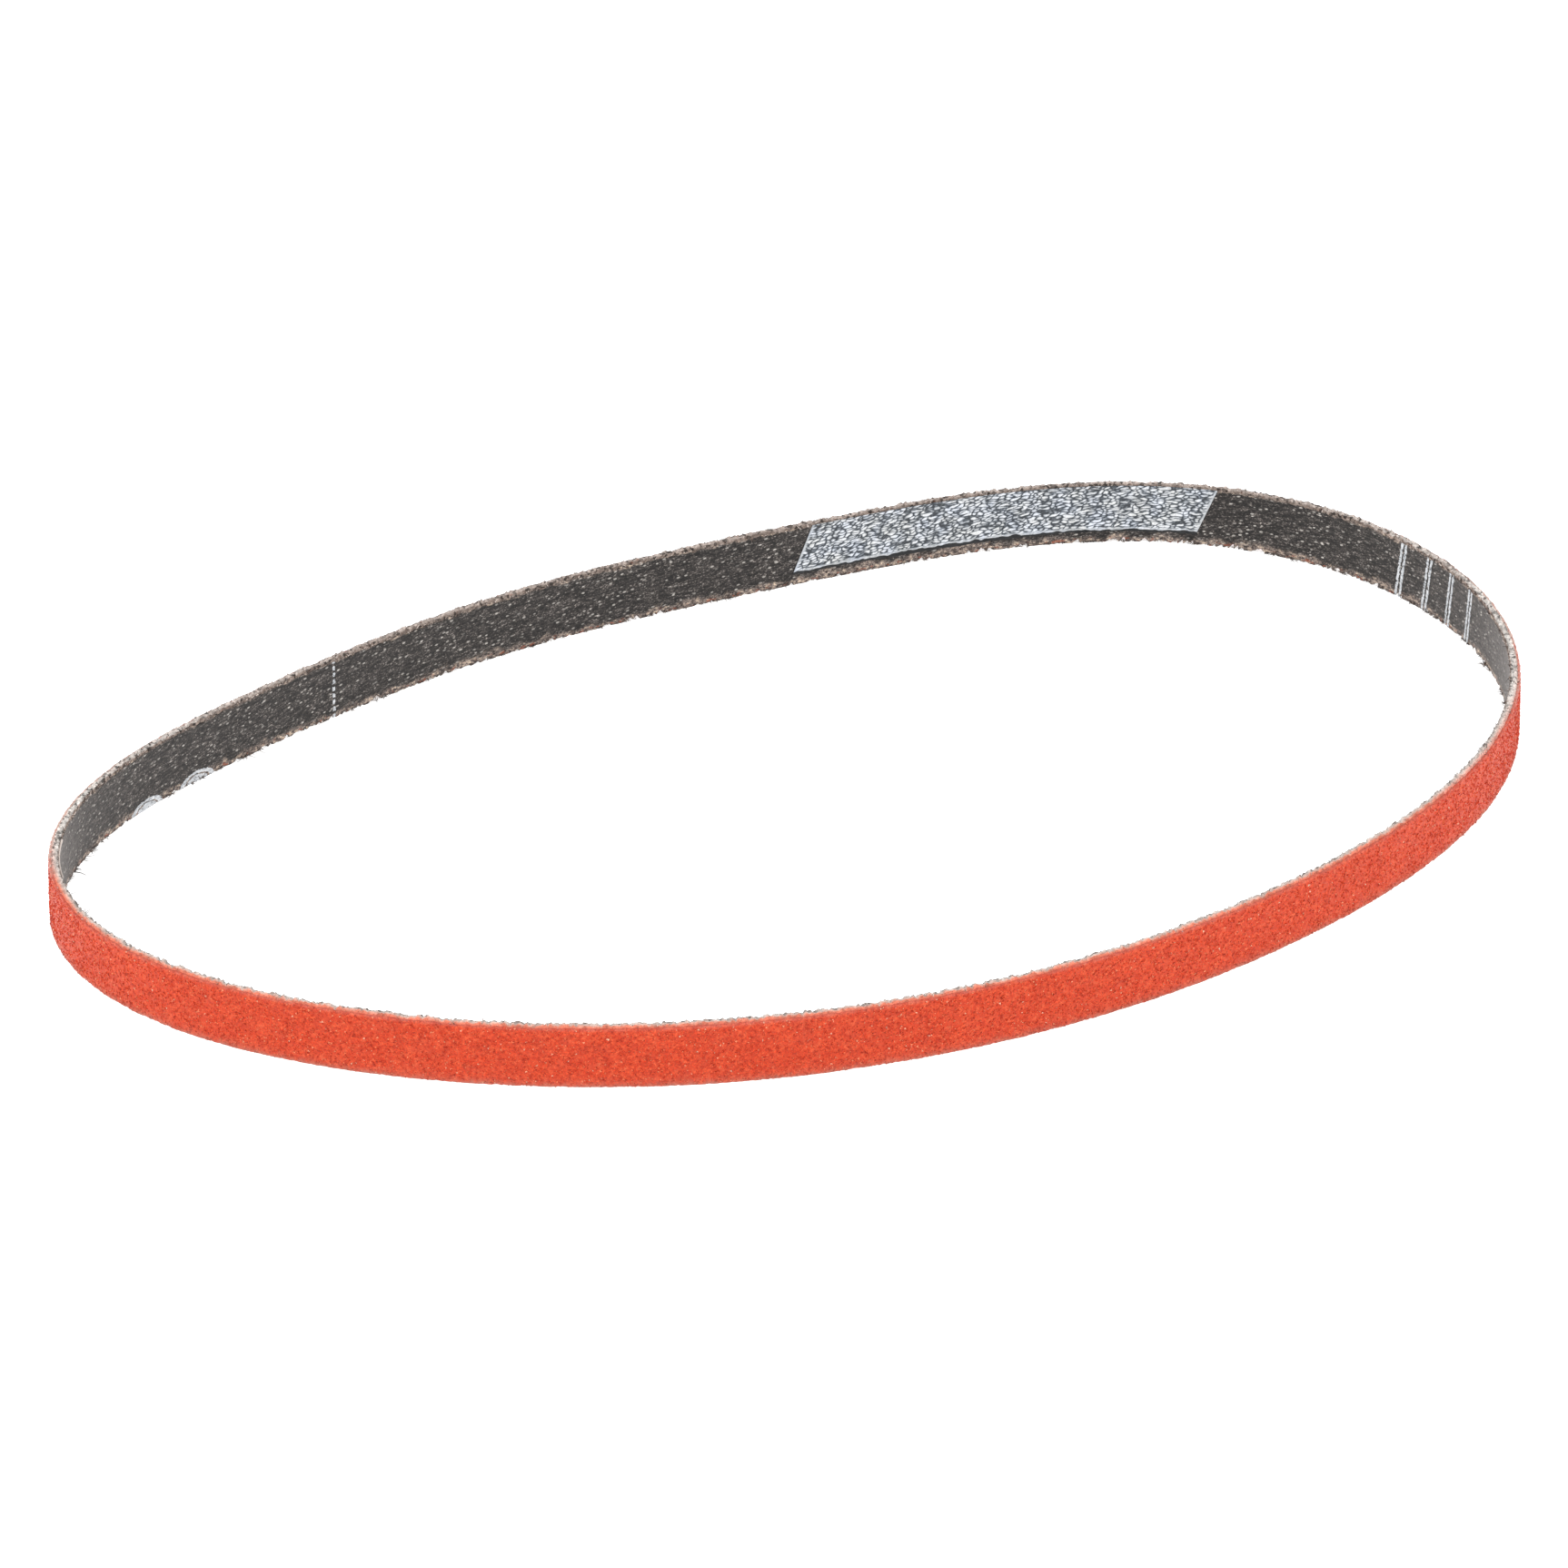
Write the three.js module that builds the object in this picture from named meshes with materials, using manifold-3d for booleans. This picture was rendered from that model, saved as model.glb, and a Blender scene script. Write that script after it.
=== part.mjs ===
// A narrow coated-abrasive belt for a finger belt sander, lying on its edge as a relaxed loop.
// It is one long strip of coated cloth, closed by a slanted butt splice with a reinforcing tape inside.
//
// Frame, in millimetres: +Z runs across the belt's width, the lower edge lies at Z = 0, +X is the loop's
// long way, and the origin is below the middle of the loop's own box.

import * as THREE from "three";
import { mergeVertices } from "three/addons/utils/BufferGeometryUtils.js";
import Module from "manifold-3d";

const wasm = await Module();
wasm.setup();

// Driving dimensions.
const BELT_LENGTH = 609.6; // along the inner face, once round
const BELT_WIDTH = 9.525;

// The laminate's layers, from the inner face outwards.
const BACKSIZE_THICKNESS = 0.08;
const CLOTH_THICKNESS = 0.95;
const MAKE_COAT_THICKNESS = 0.07;
const GRAIN_THICKNESS = 0.25;
const SIZE_COAT_THICKNESS = 0.1;

// The splice. Distances along the belt start at the loop's far -X end and run by way of the -Y side.
const SPLICE_AT = 429;
const SPLICE_ANGLE = 67; // degrees between the butt joint and the belt's edge
const SPLICE_GAP = 0.3;
const TAPE_LENGTH = 65;
const TAPE_THICKNESS = 0.12;
const TAPE_ADHESIVE_THICKNESS = 0.05;
const TAPE_EDGE_MARGIN = 2.2; // bare belt below the tape; its other edge is slit flush with the belt

// The relaxed loop. Its heading turns once round, and slow waves of bending sway it: the two ends
// are tight, the long sides are flat, and no side matches its opposite.
const START_HEADING = -84; // degrees
const BENDING_WAVES = [
  { count: 1, degrees: 1.1, phase: -129 },
  { count: 2, degrees: 19.7, phase: -50 },
  { count: 3, degrees: 4.7, phase: 0 },
  { count: 4, degrees: 2.4, phase: -77 },
  { count: 5, degrees: 2.8, phase: -76 },
  { count: 6, degrees: 1.4, phase: -22 },
];
const STATIONS = 144; // equal steps along the loop
const FULL_TURN = 2 * Math.PI;

// The belt's direction, in radians, at a distance along it.
function headingAt(distance) {
  const round = (distance / BELT_LENGTH) * FULL_TURN;
  let heading = THREE.MathUtils.degToRad(START_HEADING) + round;
  for (const wave of BENDING_WAVES) {
    const phase = THREE.MathUtils.degToRad(wave.phase);
    heading += THREE.MathUtils.degToRad(wave.degrees) * Math.sin(wave.count * round + phase);
  }
  return heading;
}

// Places on the inner face at equal distances. Each step's share of the small closing error is taken out,
// so that the last place meets the first.
function walkLoop() {
  const step = BELT_LENGTH / STATIONS;
  const steps = [];
  const drift = new THREE.Vector2();
  for (let i = 0; i < STATIONS; i++) {
    const heading = headingAt((i + 0.5) * step);
    steps.push(new THREE.Vector2(Math.cos(heading), Math.sin(heading)).multiplyScalar(step));
    drift.add(steps[i]);
  }
  drift.divideScalar(STATIONS);
  const places = [new THREE.Vector2()];
  for (const move of steps.slice(0, -1)) {
    places.push(places.at(-1).clone().add(move).sub(drift));
  }
  return places;
}

// The outward directions: square to the line from each station's last neighbour to its next.
function outwardDirections(places) {
  return places.map((_, i) => {
    const before = places.at(i - 1);
    const after = places[(i + 1) % places.length];
    const along = after.clone().sub(before).normalize();
    return new THREE.Vector2(along.y, -along.x);
  });
}

const places = walkLoop();
const outward = outwardDirections(places);

// The loop's outline at a distance outside its inner face.
function outlineAt(offset) {
  return places.map((place, i) => place.clone().addScaledVector(outward[i], offset));
}

// The loop's middle, which becomes the origin.
const laminateThickness =
  BACKSIZE_THICKNESS + CLOTH_THICKNESS + MAKE_COAT_THICKNESS + GRAIN_THICKNESS + SIZE_COAT_THICKNESS;
const middle = new THREE.Box2().setFromPoints(outlineAt(laminateThickness)).getCenter(new THREE.Vector2());

// A closed band that follows the loop, between two distances from its inner face.
function band(inside, outside, bottom = 0) {
  const shape = new THREE.Shape(outlineAt(outside));
  shape.holes.push(new THREE.Path(outlineAt(inside)));
  const depth = BELT_WIDTH - bottom;
  return new THREE.ExtrudeGeometry(shape, { depth, bevelEnabled: false }).translate(0, 0, bottom);
}

// A block that crosses the belt, leaning as the splice leans. Its ends stand at two distances
// along the belt from the place given, square to the belt's heading there.
function leaningBlock(distance, from, to) {
  const reach = 90; // far enough to hold the tape's curve
  const lean = THREE.MathUtils.degToRad(90 - SPLICE_ANGLE);
  const block = new THREE.BoxGeometry(to - from, 2 * reach, 2 * reach);
  block.translate((from + to) / 2, 0, 0);
  // Shearing keeps the block's ends apart by the distance along the belt.
  const shear = new THREE.Matrix4().makeShear(0, 0, 0, 0, -Math.tan(lean), 0);
  block.applyMatrix4(shear);
  block.rotateZ(headingAt(distance));
  const station = (distance / BELT_LENGTH) * STATIONS;
  const first = Math.floor(station);
  const place = places[first].clone().lerp(places[(first + 1) % STATIONS], station - first);
  return block.translate(place.x, place.y, BELT_WIDTH / 2);
}

// A closed geometry as a manifold solid.
function solidFrom(geometry) {
  const bare = new THREE.BufferGeometry();
  bare.setAttribute("position", geometry.getAttribute("position"));
  bare.setIndex(geometry.getIndex());
  const merged = mergeVertices(bare);
  const mesh = new wasm.Mesh({
    numProp: 3,
    vertProperties: new Float32Array(merged.getAttribute("position").array),
    triVerts: new Uint32Array(merged.getIndex().array),
  });
  return new wasm.Manifold(mesh);
}

// A manifold solid as a geometry with its edges kept sharp.
function geometryFrom(solid) {
  const { vertProperties, triVerts } = solid.getMesh();
  const shared = new THREE.BufferGeometry();
  shared.setAttribute("position", new THREE.BufferAttribute(vertProperties, 3));
  shared.setIndex(new THREE.BufferAttribute(triVerts, 1));
  const geometry = shared.toNonIndexed();
  geometry.computeVertexNormals();
  return geometry;
}

const belt = new THREE.Group();
belt.name = "abrasive_belt";
belt.position.set(-middle.x, -middle.y, 0);

// A named piece of the belt with a material of its own.
function addPiece(name, solid, color, roughness) {
  const material = new THREE.MeshStandardMaterial({ color, roughness, metalness: 0 });
  const mesh = new THREE.Mesh(geometryFrom(solid), material);
  mesh.name = name;
  belt.add(mesh);
}

// The five layers of the strip, each open at the butt joint.
const layers = [
  { name: "backsize_coat", thickness: BACKSIZE_THICKNESS, color: 0x57524f, roughness: 0.9 },
  { name: "cloth_backing", thickness: CLOTH_THICKNESS, color: 0xe4cbc4, roughness: 0.95 },
  { name: "make_coat", thickness: MAKE_COAT_THICKNESS, color: 0xb9583c, roughness: 0.6 },
  { name: "abrasive_grain", thickness: GRAIN_THICKNESS, color: 0xd25a40, roughness: 0.8 },
  { name: "size_coat", thickness: SIZE_COAT_THICKNESS, color: 0xdf563c, roughness: 0.55 },
];
const joint = solidFrom(leaningBlock(SPLICE_AT, -SPLICE_GAP / 2, SPLICE_GAP / 2));
let inside = 0;
for (const { name, thickness, color, roughness } of layers) {
  const ring = solidFrom(band(inside, inside + thickness));
  addPiece(name, ring.subtract(joint), color, roughness);
  inside += thickness;
}

// The bond that fills the butt joint, through the cloth and its backsize coat.
const bondedDepth = BACKSIZE_THICKNESS + CLOTH_THICKNESS;
addPiece("seam_bond", solidFrom(band(0, bondedDepth)).intersect(joint), 0x6b4a35, 0.4);

// The reinforcing tape and its adhesive, on the inner face over the joint.
function spliceStrip(inner, outer) {
  const start = SPLICE_AT - TAPE_LENGTH / 2;
  const end = SPLICE_AT + TAPE_LENGTH / 2;
  const afterStart = solidFrom(leaningBlock(start, 0, 2 * TAPE_LENGTH));
  const beforeEnd = solidFrom(leaningBlock(end, -2 * TAPE_LENGTH, 0));
  return solidFrom(band(inner, outer, TAPE_EDGE_MARGIN)).intersect(afterStart).intersect(beforeEnd);
}
const tapeBack = -TAPE_ADHESIVE_THICKNESS;
addPiece("tape_adhesive", spliceStrip(tapeBack, 0), 0x4a3a2e, 0.35);
addPiece("splice_tape", spliceStrip(tapeBack - TAPE_THICKNESS, tapeBack), 0x8f9aa6, 0.35);

export default belt;
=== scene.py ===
"""A narrow abrasive belt standing on its edge: the looks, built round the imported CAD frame.

Every piece is worked out in belt coordinates: the distance along the belt from its splice, the offset
outwards from the middle of the cloth, and the height above the lower edge. All lengths are in metres.
"""

import math

import bpy
import numpy as np
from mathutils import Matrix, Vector


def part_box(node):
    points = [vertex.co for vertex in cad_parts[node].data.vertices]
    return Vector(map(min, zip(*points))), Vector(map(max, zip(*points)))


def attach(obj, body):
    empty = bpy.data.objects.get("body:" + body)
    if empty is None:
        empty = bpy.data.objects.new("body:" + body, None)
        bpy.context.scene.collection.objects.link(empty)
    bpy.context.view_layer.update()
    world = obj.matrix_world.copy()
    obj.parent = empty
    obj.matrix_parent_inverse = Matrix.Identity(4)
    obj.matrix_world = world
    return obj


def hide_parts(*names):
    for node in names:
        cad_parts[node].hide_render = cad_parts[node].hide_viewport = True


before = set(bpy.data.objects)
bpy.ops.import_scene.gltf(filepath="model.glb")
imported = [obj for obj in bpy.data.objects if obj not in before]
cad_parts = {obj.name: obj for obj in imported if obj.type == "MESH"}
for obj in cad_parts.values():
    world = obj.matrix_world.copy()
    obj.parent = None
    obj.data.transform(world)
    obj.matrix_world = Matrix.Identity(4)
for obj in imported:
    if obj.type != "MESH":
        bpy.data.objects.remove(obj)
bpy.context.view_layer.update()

MM = 0.001
LEVEL_WITHIN = 0.01 * MM  # corners whose heights differ by less than this are level

# ---- noise

TABLE_SHAPE = (257, 263)  # how many whole places lie between a noise and its repeat


def lattice_noise(x, y, seed):
    """Smooth noise from -1 to 1 with one random value at each whole x and y."""
    table = np.random.default_rng(seed).uniform(-1, 1, TABLE_SHAPE)
    column, row = np.floor(x).astype(int), np.floor(y).astype(int)
    fx, fy = x - column, y - row
    fx, fy = fx * fx * (3 - 2 * fx), fy * fy * (3 - 2 * fy)

    def corner(dx, dy):
        """The value at one of the four whole places round x and y."""
        return table[(column + dx) % table.shape[0], (row + dy) % table.shape[1]]

    low = corner(0, 0) * (1 - fx) + corner(1, 0) * fx
    high = corner(0, 1) * (1 - fx) + corner(1, 1) * fx
    return low * (1 - fy) + high * fy


def fractal(x, y, seed, octaves=3):
    """Lattice noise summed at octaves of half the size and half the height."""
    total = np.zeros(np.broadcast(x, y).shape)
    for octave in range(octaves):
        total += lattice_noise(x * 2**octave, y * 2**octave, seed + octave) / 2**octave
    return total


def cells(x, y, seed, jitter=0.8):
    """Scattered cells, about one in each unit square. Returns the distance to the nearest centre, the
    distance to the second nearest, and a random number from 0 to 1 that belongs to the nearest."""
    rng = np.random.default_rng(seed)
    shift_x = rng.uniform(-0.5, 0.5, TABLE_SHAPE) * jitter
    shift_y = rng.uniform(-0.5, 0.5, TABLE_SHAPE) * jitter
    tone = rng.uniform(0, 1, TABLE_SHAPE)
    column, row = np.floor(x).astype(int), np.floor(y).astype(int)
    first = np.full(x.shape, np.inf)
    second = np.full(x.shape, np.inf)
    nearest_tone = np.zeros(x.shape)
    for dx in (-1, 0, 1):
        for dy in (-1, 0, 1):
            i, j = (column + dx) % TABLE_SHAPE[0], (row + dy) % TABLE_SHAPE[1]
            centre_x = column + dx + 0.5 + shift_x[i, j]
            centre_y = row + dy + 0.5 + shift_y[i, j]
            distance = np.hypot(x - centre_x, y - centre_y)
            second = np.minimum(second, np.maximum(first, distance))
            nearest_tone = np.where(distance < first, tone[i, j], nearest_tone)
            first = np.minimum(first, distance)
    return first, second, nearest_tone


# ---- the belt's line


def node_points(node):
    """The distinct corners of a CAD node."""
    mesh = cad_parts[node].data
    points = np.empty(len(mesh.vertices) * 3, np.float32)
    mesh.vertices.foreach_get("co", points)
    return np.unique(points.reshape(-1, 3).astype(float).round(7), axis=0)


class BeltLine:
    """The middle of the cloth as a smooth closed line, from the corners of the CAD cloth's lower edge."""

    HARMONICS = 20  # enough for the loop's bends, and too few to follow the CAD facets
    SAMPLES = 8192
    SAME_STATION = 1.2 * MM  # the CAD cloth's inner and outer corners are nearer than this

    def __init__(self, node):
        points = node_points(node)
        low = points[points[:, 2] < LEVEL_WITHIN][:, :2]
        low = low[np.argsort(np.arctan2(low[:, 1], low[:, 0]))]
        steps = np.hypot(*(low - np.roll(low, 1, axis=0)).T)
        station = np.cumsum(steps > self.SAME_STATION)
        if steps[0] <= self.SAME_STATION:
            station[station == station[-1]] = station[0]
        middles = np.array([low[station == s].mean(axis=0) for s in np.unique(station)])
        self.smooth(middles)

    def smooth(self, corners):
        """Keep the first few harmonics of the line through the corners."""
        closed = np.vstack([corners, corners[:1]])
        travelled = np.append(0, np.cumsum(np.hypot(*np.diff(closed, axis=0).T)))
        even = np.linspace(0, travelled[-1], self.SAMPLES, endpoint=False)
        x, y = (np.interp(even, travelled, closed[:, axis]) for axis in (0, 1))
        waves = np.fft.fft(x + 1j * y)
        count = np.fft.fftfreq(self.SAMPLES, 1 / self.SAMPLES)
        waves[np.abs(count) > self.HARMONICS] = 0
        line = np.fft.ifft(waves)
        slope = np.fft.ifft(waves * 2j * math.pi * count)
        self.length = float(np.abs(slope).mean())
        self.start = 0.0
        self.table = line, slope / np.abs(slope)

    def at(self, along):
        """The line's place and direction at distances along it, as complex numbers."""
        turn = np.mod((along + self.start) / self.length, 1) * self.SAMPLES
        known = np.arange(self.SAMPLES + 1)
        return [np.interp(turn, known, np.append(t, t[0])) for t in self.table]

    def place(self, along, offset, height):
        """Belt coordinates to points in the row frame."""
        spot, direction = self.at(along)
        spot = spot - 1j * direction * offset
        return np.stack([spot.real, spot.imag, height], axis=-1)

    def unroll(self, points):
        """Points in the row frame to belt coordinates, one row each."""
        spots = points[:, 0] + 1j * points[:, 1]
        line, direction = self.table
        nearest = np.abs(spots[:, None] - line[None, :]).argmin(axis=1)
        away = (spots - line[nearest]) / direction[nearest]
        along = nearest / self.SAMPLES * self.length + away.real - self.start
        along = np.mod(along + self.length / 2, self.length) - self.length / 2
        return np.stack([along, -away.imag, points[:, 2]], axis=-1)

    def facing_back(self, along):
        """How much the outer face looks towards +Y, from -1 to 1."""
        _, direction = self.at(along)
        return (-1j * direction).imag


belt = BeltLine("cloth_backing")
belt.start = belt.unroll(node_points("seam_bond"))[:, 0].mean()
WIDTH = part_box("cloth_backing")[1][2]


def layer(node):
    """How far in and how far out a CAD layer reaches."""
    offsets = belt.unroll(node_points(node))[:, 1]
    return offsets.min(), offsets.max()


def leaning_edge(node, late):
    """Where a CAD node's early or late end crosses the belt: its middle, and its slope in metres along
    the belt for each metre up."""
    corners = belt.unroll(node_points(node))
    heights = corners[:, 2].min(), corners[:, 2].max()
    pick = np.max if late else np.min
    ends = [pick(corners[np.abs(corners[:, 2] - h) < LEVEL_WITHIN, 0]) for h in heights]
    slope = (ends[1] - ends[0]) / (heights[1] - heights[0])
    return ends[0] + slope * (WIDTH / 2 - heights[0]), slope


# ---- meshes


def joined(along, offset, height):
    """Belt coordinates in one array, with a row of three for each corner."""
    return np.stack(np.broadcast_arrays(along, offset, height), axis=-1)


def new_piece(name, coordinates, faces, material, slot, replaces=(), smooth=True, **values):
    """A mesh object that rides on the belt's one body. coordinates are its corners' belt coordinates,
    and values are numbers for each corner that its material reads by name."""
    points = belt.place(*np.moveaxis(coordinates, -1, 0))
    mesh = bpy.data.meshes.new(name)
    mesh.from_pydata(points.reshape(-1, 3).tolist(), [], faces)
    mesh.polygons.foreach_set("use_smooth", [smooth] * len(mesh.polygons))
    attribute = mesh.attributes.new("unrolled", "FLOAT_VECTOR", "POINT")
    attribute.data.foreach_set("vector", (coordinates / MM).astype(np.float32).ravel())
    for key, numbers in values.items():
        attribute = mesh.attributes.new(key, "FLOAT", "POINT")
        attribute.data.foreach_set("value", numbers.astype(np.float32).ravel())
    mesh.materials.append(material)
    mesh.update()
    piece = bpy.data.objects.new(name, mesh)
    bpy.context.scene.collection.objects.link(piece)
    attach(piece, "root")
    if replaces:
        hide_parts(*replaces)


def tube_faces(rings, around):
    """Faces of a solid made of closed rings of corners, one after another, with its two ends filled."""
    i = np.arange(rings - 1)[:, None] * around
    j = np.arange(around)[None, :]
    after = (j + 1) % around
    quads = np.stack([i + j, i + around + j, i + around + after, i + after], axis=-1)
    faces = quads.reshape(-1, 4).tolist()
    last = (rings - 1) * around
    faces.append(list(range(around)))
    faces.append(list(range(last, last + around))[::-1])
    return faces


def section(face_rows, rim_rows, back_rows):
    """Corners round a strip's section: through is 0 on the inner face and 1 on the outer one, and
    across is 0 on the lower rim and 1 on the upper one."""
    face = np.linspace(0, 1, face_rows, endpoint=False)
    rim = np.linspace(0, 1, rim_rows, endpoint=False)
    back = np.linspace(0, 1, back_rows, endpoint=False)
    through = np.concatenate([np.ones(face_rows), 1 - rim, np.zeros(back_rows), rim])
    across = np.concatenate([face, np.ones(rim_rows), 1 - back, np.zeros(rim_rows)])
    return through, across


JOINT_SHARE = 0.25  # of the CAD joint's reach: the strip's two ends nearly meet
SEAM_END, SEAM_SLOPE = leaning_edge("seam_bond", late=True)
STRIP_START = JOINT_SHARE * SEAM_END
STRIP_LENGTH = belt.length - 2 * STRIP_START
EDGE_WANDER = 0.05 * MM, 9 * MM  # how far every slit edge wanders, and the length of its waves


def slit_edge(along, seed, least, nicks, size):
    """How far a slit edge stands back from the full width: least, plus nicks of one size. Where least is
    below zero, the edge stands proud between its nicks."""
    depth, length = EDGE_WANDER
    wander = depth * lattice_noise(along / length, 0, 11)
    ragged = np.abs(fractal(along / size, 0, seed, 3))
    return least + wander + nicks * ragged


def strip(node, stations, rows, edges, outer=None, inner=None, rims=None, foot=None):
    """Corners of a layer that runs once round the belt, from one side of the butt joint to the other.
    rows is what section() takes, and edges gives slit_edge()'s numbers for the lower and the upper
    rim. outer, inner and rims give the relief of each surface. foot is how far in the layer starts,
    where that isn't the CAD layer's own inner side."""
    through, across = section(*rows)
    low, high = layer(node)
    low = low if foot is None else foot
    along = np.linspace(0, STRIP_LENGTH, stations)[:, None] + STRIP_START
    lower = slit_edge(along, *edges[0])
    upper = WIDTH - slit_edge(along, *edges[1])
    height = lower + (upper - lower) * across
    along = along + SEAM_SLOPE * (height - WIDTH / 2)
    offset = low + (high - low) * through
    if outer:
        offset = offset + (through == 1) * outer(along, height)
    if inner:
        offset = offset - (through == 0) * inner(along, height)
    if rims:
        height = height + (across == 1) * rims(along, offset, 1)
        height = height + (across == 0) * rims(along, offset, 0)
    return joined(along, offset, np.maximum(height, 0))


def add_strip(name, node, coordinates, material, slot, **values):
    """A piece made of one ring of corners for each station along the belt, in place of a CAD node."""
    faces = tube_faces(*coordinates.shape[:2])
    new_piece(name, coordinates, faces, material, slot, (node,), **values)


# ---- materials

LIGHT_LEVEL = 1.35  # what the studio light multiplies a surface's own colour by


def seen(red, green, blue):
    """The surface colour that shows as this screen colour, 0 to 255, in the studio light."""
    shown = np.array([red, green, blue]) / 255
    linear = np.where(shown <= 0.04045, shown / 12.92, ((shown + 0.055) / 1.055) ** 2.4)
    return (*(linear / LIGHT_LEVEL).tolist(), 1.0)


class Recipe:
    """A material on one Principled shader, built from a few kinds of node."""

    def __init__(self, name, **uniform):
        self.material = bpy.data.materials.new(name)
        self.material.use_nodes = True
        self.tree = self.material.node_tree
        self.shader = self.tree.nodes["Principled BSDF"]
        for socket, value in uniform.items():
            self.shader.inputs[socket.replace("_", " ")].default_value = value

    def join(self, value, socket):
        """Set a socket to a number or colour, or link another node's output to it."""
        if isinstance(value, bpy.types.NodeSocket):
            self.tree.links.new(value, socket)
        else:
            socket.default_value = value

    def node(self, kind, **links):
        """A node whose inputs are set to numbers or linked to other nodes' outputs."""
        made = self.tree.nodes.new("ShaderNode" + kind)
        for name, value in links.items():
            self.join(value, made.inputs[name.replace("_", " ")])
        return made

    def corner_value(self, name, output="Fac"):
        """One of the values that new_piece gives each corner."""
        made = self.node("Attribute")
        made.attribute_name = name
        return made.outputs[output]

    def unrolled(self, along=1.0, up=1.0, lean=0.0):
        """Belt coordinates in millimetres, turned by lean and then stretched."""
        at = self.corner_value("unrolled", "Vector")
        turned = self.node("Mapping", Vector=at, Rotation=(0, lean, 0)).outputs["Vector"]
        return self.node("Mapping", Vector=turned, Scale=(along, 1.0, up)).outputs["Vector"]

    def noise(self, vector, scale, detail=2.0, roughness=0.5, distortion=0.0):
        """Smooth noise, mostly from 0.3 to 0.7, with scale lumps in each millimetre."""
        made = self.node(
            "TexNoise", Vector=vector, Scale=scale, Detail=detail, Roughness=roughness, Distortion=distortion
        )
        return made.outputs["Fac"]

    def cells(self, vector, scale):
        """The distance to the nearest of some scattered centres, and a random colour of its own."""
        made = self.node("TexVoronoi", Vector=vector, Scale=scale)
        return made.outputs["Distance"], made.outputs["Color"]

    def ramp(self, fac, *stops):
        """Colours or greys at places from 0 to 1."""
        made = self.node("ValToRGB", Fac=fac)
        elements = made.color_ramp.elements
        while len(elements) < len(stops):
            elements.new(0.5)
        for element, (place, colour) in zip(elements, stops):
            element.position = place
            element.color = colour if hasattr(colour, "__len__") else (colour, colour, colour, 1)
        return made.outputs["Color"]

    def mix(self, fac, first, second, blend="MIX"):
        """The first colour where fac is 0 and the second, or their blend, where it is 1."""
        made = self.tree.nodes.new("ShaderNodeMix")
        made.data_type = "RGBA"
        made.blend_type = blend
        made.clamp_factor = True
        self.join(fac, made.inputs["Factor"])
        # The colour sockets come after those for numbers and vectors, which share their names.
        self.join(first, made.inputs[6])
        self.join(second, made.inputs[7])
        return made.outputs[2]

    def times(self, first, second):
        """Two colours multiplied."""
        return self.mix(1.0, first, second, "MULTIPLY")

    def shaded(self, colour, fac, *stops):
        """A colour multiplied by the greys or colours of a ramp."""
        return self.times(colour, self.ramp(fac, *stops))

    def finish(self, colour, bump=None, depth=0.02 * MM, strength=0.6, roughness=None):
        """The material, once its colour and its fine bumps are joined to the shader."""
        self.join(colour, self.shader.inputs["Base Color"])
        if roughness is not None:
            self.join(roughness, self.shader.inputs["Roughness"])
        if bump is not None:
            made = self.node("Bump", Height=bump, Distance=depth, Strength=strength)
            self.join(made.outputs["Normal"], self.shader.inputs["Normal"])
        return self.material


def coat_material(name, *tones):
    """Orange size resin. Its tone comes from the piece. It is worn pale or brown at the upper slit edge and
    dull at the lower one. At the loop's ends the pale edge is also a painted sheen."""
    recipe = Recipe(name, Specular_IOR_Level=0.2, Sheen_Weight=0.09, Sheen_Roughness=0.5)
    at = recipe.unrolled()
    base = recipe.ramp(recipe.corner_value("tone"), *tones)
    fine = recipe.noise(at, 4.4, 2.0, 0.6)
    speckled = recipe.shaded(base, fine, (0.3, 0.74), (0.5, 0.98), (0.7, 1.34))
    mottle = recipe.noise(at, 0.5, 3.0, 0.6)
    mottled = recipe.mix(recipe.ramp(mottle, (0.5, 0.0), (0.72, 0.3)), speckled, seen(200, 76, 54))
    worn = recipe.mix(recipe.corner_value("back"), seen(243, 204, 190), seen(160, 145, 137))
    patchy = recipe.shaded(worn, fine, (0.36, 0.6), (0.5, 1.0), (0.7, 1.1))
    # painted sheen: at the loop's ends this pale mix also stands in for the sheen of a glancing view
    paled = recipe.mix(recipe.corner_value("edge"), mottled, patchy)
    colour = recipe.mix(recipe.corner_value("under"), paled, seen(192, 128, 110))
    facets, _ = recipe.cells(at, 4.5)
    rough = recipe.ramp(fine, (0.3, 0.42), (0.7, 0.68))
    return recipe.finish(colour, bump=facets, depth=0.05 * MM, strength=0.5, roughness=rough)


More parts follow.
